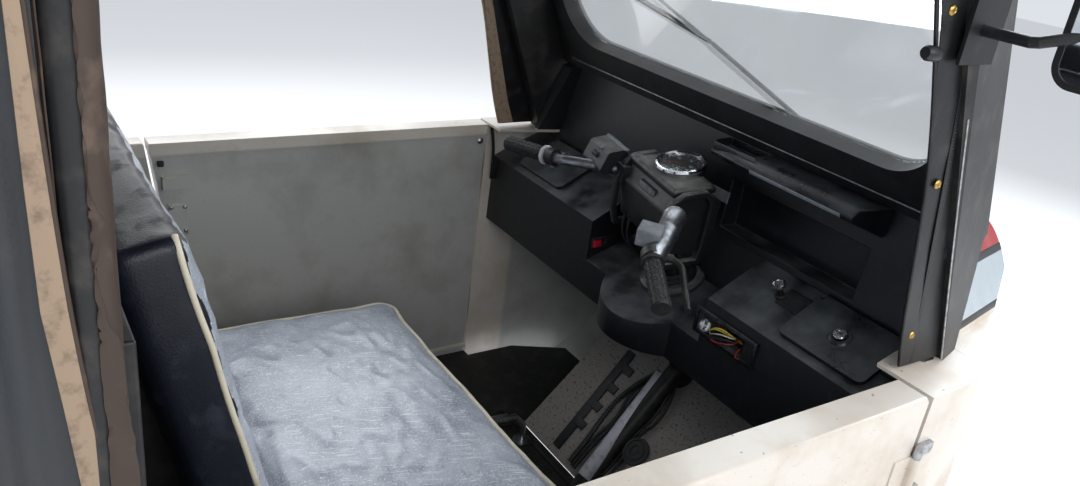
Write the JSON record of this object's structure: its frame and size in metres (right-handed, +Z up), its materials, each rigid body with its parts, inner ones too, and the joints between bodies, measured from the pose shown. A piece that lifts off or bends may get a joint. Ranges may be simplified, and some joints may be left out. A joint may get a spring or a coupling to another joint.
{
  "type": "auto rickshaw",
  "caption": "Enclosed auto rickshaw: a cab with half doors and a dashboard, handlebar steering to the front wheel, a soft roof over a rear bench, and a louvred engine cover.",
  "frame": {"origin": "on the ground under the middle of the vehicle's box", "axes": "+Z up, -Y forward, +X to the vehicle's left"},
  "size_m": [1.682, 2.8262, 1.7798],
  "materials": {
    "cream_paint": "gloss",
    "frame_paint": "satin",
    "grey_paint": "satin",
    "dash_plastic": "satin",
    "rubber": "matte",
    "tyre": "matte",
    "steel": "brushed",
    "chrome": "polished",
    "glass": "clear",
    "lens": "clear",
    "red_lens": "clear",
    "mirror": "polished",
    "seat_cloth": "woven",
    "dark_cloth": "woven",
    "roof_cloth": "coated",
    "bench_cloth": "woven",
    "black_plastic": "matte",
    "cast": "cast"
  },
  "bodies": {
    "body": {"chassis_frame": "frame_paint", "floor_pan": "frame_paint", "toe_board": "grey_paint", "front_shell": "cream_paint", "lamp_housings": "black_plastic", "headlamp_lenses": "lens", "marker_lenses": "red_lens", "windscreen_frame": "frame_paint", "windscreen_seal": "rubber", "windscreen_glass": "glass", "dashboard": "dash_plastic", "dash_fascia": "dash_plastic", "dash_binnacle": "dash_plastic", "body_side_left": "cream_paint", "body_side_right": "cream_paint", "door_hinges": "steel", "rear_panel": "cream_paint", "cover_hinges": "steel", "roof_frame": "frame_paint", "roof_rails": "frame_paint", "roof_canopy": "roof_cloth", "rear_window": "glass", "partition": "frame_paint", "driver_seat_base": "frame_paint", "driver_cushion": "seat_cloth", "driver_backrest": "dark_cloth", "passenger_seat_base": "frame_paint", "passenger_cushion": "bench_cloth", "passenger_backrest": "bench_cloth", "tail_lamps": "red_lens", "mirrors": "black_plastic", "mirror_glasses": "mirror", "foot_controls": "steel", "engine": "cast", "rear_suspension": "frame_paint"},
    "door_left": {"door_left": "cream_paint"},
    "door_right": {"door_right": "cream_paint"},
    "steering": {"steering_fork": "frame_paint", "front_fender": "cream_paint", "handlebar": "steel", "bar_housing": "black_plastic", "speedometer": "chrome", "grips": "rubber", "control_levers": "steel"},
    "front_wheel": {"front_tyre": "tyre", "front_rim": "steel"},
    "rear_wheel_left": {"rear_tyre_left": "tyre", "rear_rim_left": "steel"},
    "rear_wheel_right": {"rear_tyre_right": "tyre", "rear_rim_right": "steel"},
    "glovebox_lid_left": {"glovebox_lid_left": "dash_plastic"},
    "glovebox_lid_right": {"glovebox_lid_right": "dash_plastic"},
    "engine_cover": {"engine_cover": "cream_paint"}
  },
  "joints": [
    {"name": "door_left_hinge", "type": "hinge", "parent": "body", "child": "door_left", "pos_m": [0.683, -0.7615, 0.6], "axis": [0, 0, -1], "range_deg": [0, 75]},
    {"name": "door_right_hinge", "type": "hinge", "parent": "body", "child": "door_right", "pos_m": [-0.683, -0.7615, 0.6], "axis": [0, 0, 1], "range_deg": [0, 75]},
    {"name": "steering_pivot", "type": "hinge", "parent": "body", "child": "steering", "pos_m": [0, -0.8825, 0.79], "axis": [0, 0.342, 0.9397], "range_deg": [-30, 50]},
    {"name": "front_wheel_spin", "type": "hinge", "parent": "steering", "child": "front_wheel", "pos_m": [-0.0108, -1.14911, 0.23661], "axis": [0.9848, -0.1632, 0.0594], "continuous": true},
    {"name": "rear_wheel_left_spin", "type": "hinge", "parent": "body", "child": "rear_wheel_left", "pos_m": [0.56, 0.81, 0.235], "axis": [1, 0, 0], "continuous": true},
    {"name": "rear_wheel_right_spin", "type": "hinge", "parent": "body", "child": "rear_wheel_right", "pos_m": [-0.56, 0.81, 0.235], "axis": [1, 0, 0], "continuous": true},
    {"name": "glovebox_lid_left_hinge", "type": "hinge", "parent": "body", "child": "glovebox_lid_left", "pos_m": [0.443, -0.91238, 0.92631], "axis": [1, 0, 0], "range_deg": [0, 60]},
    {"name": "glovebox_lid_right_hinge", "type": "hinge", "parent": "body", "child": "glovebox_lid_right", "pos_m": [-0.443, -0.91238, 0.92631], "axis": [1, 0, 0], "range_deg": [0, 60]},
    {"name": "engine_cover_hinge", "type": "hinge", "parent": "body", "child": "engine_cover", "pos_m": [0, 1.4011, 0.802], "axis": [1, 0, 0], "range_deg": [0, 80]}
  ]
}
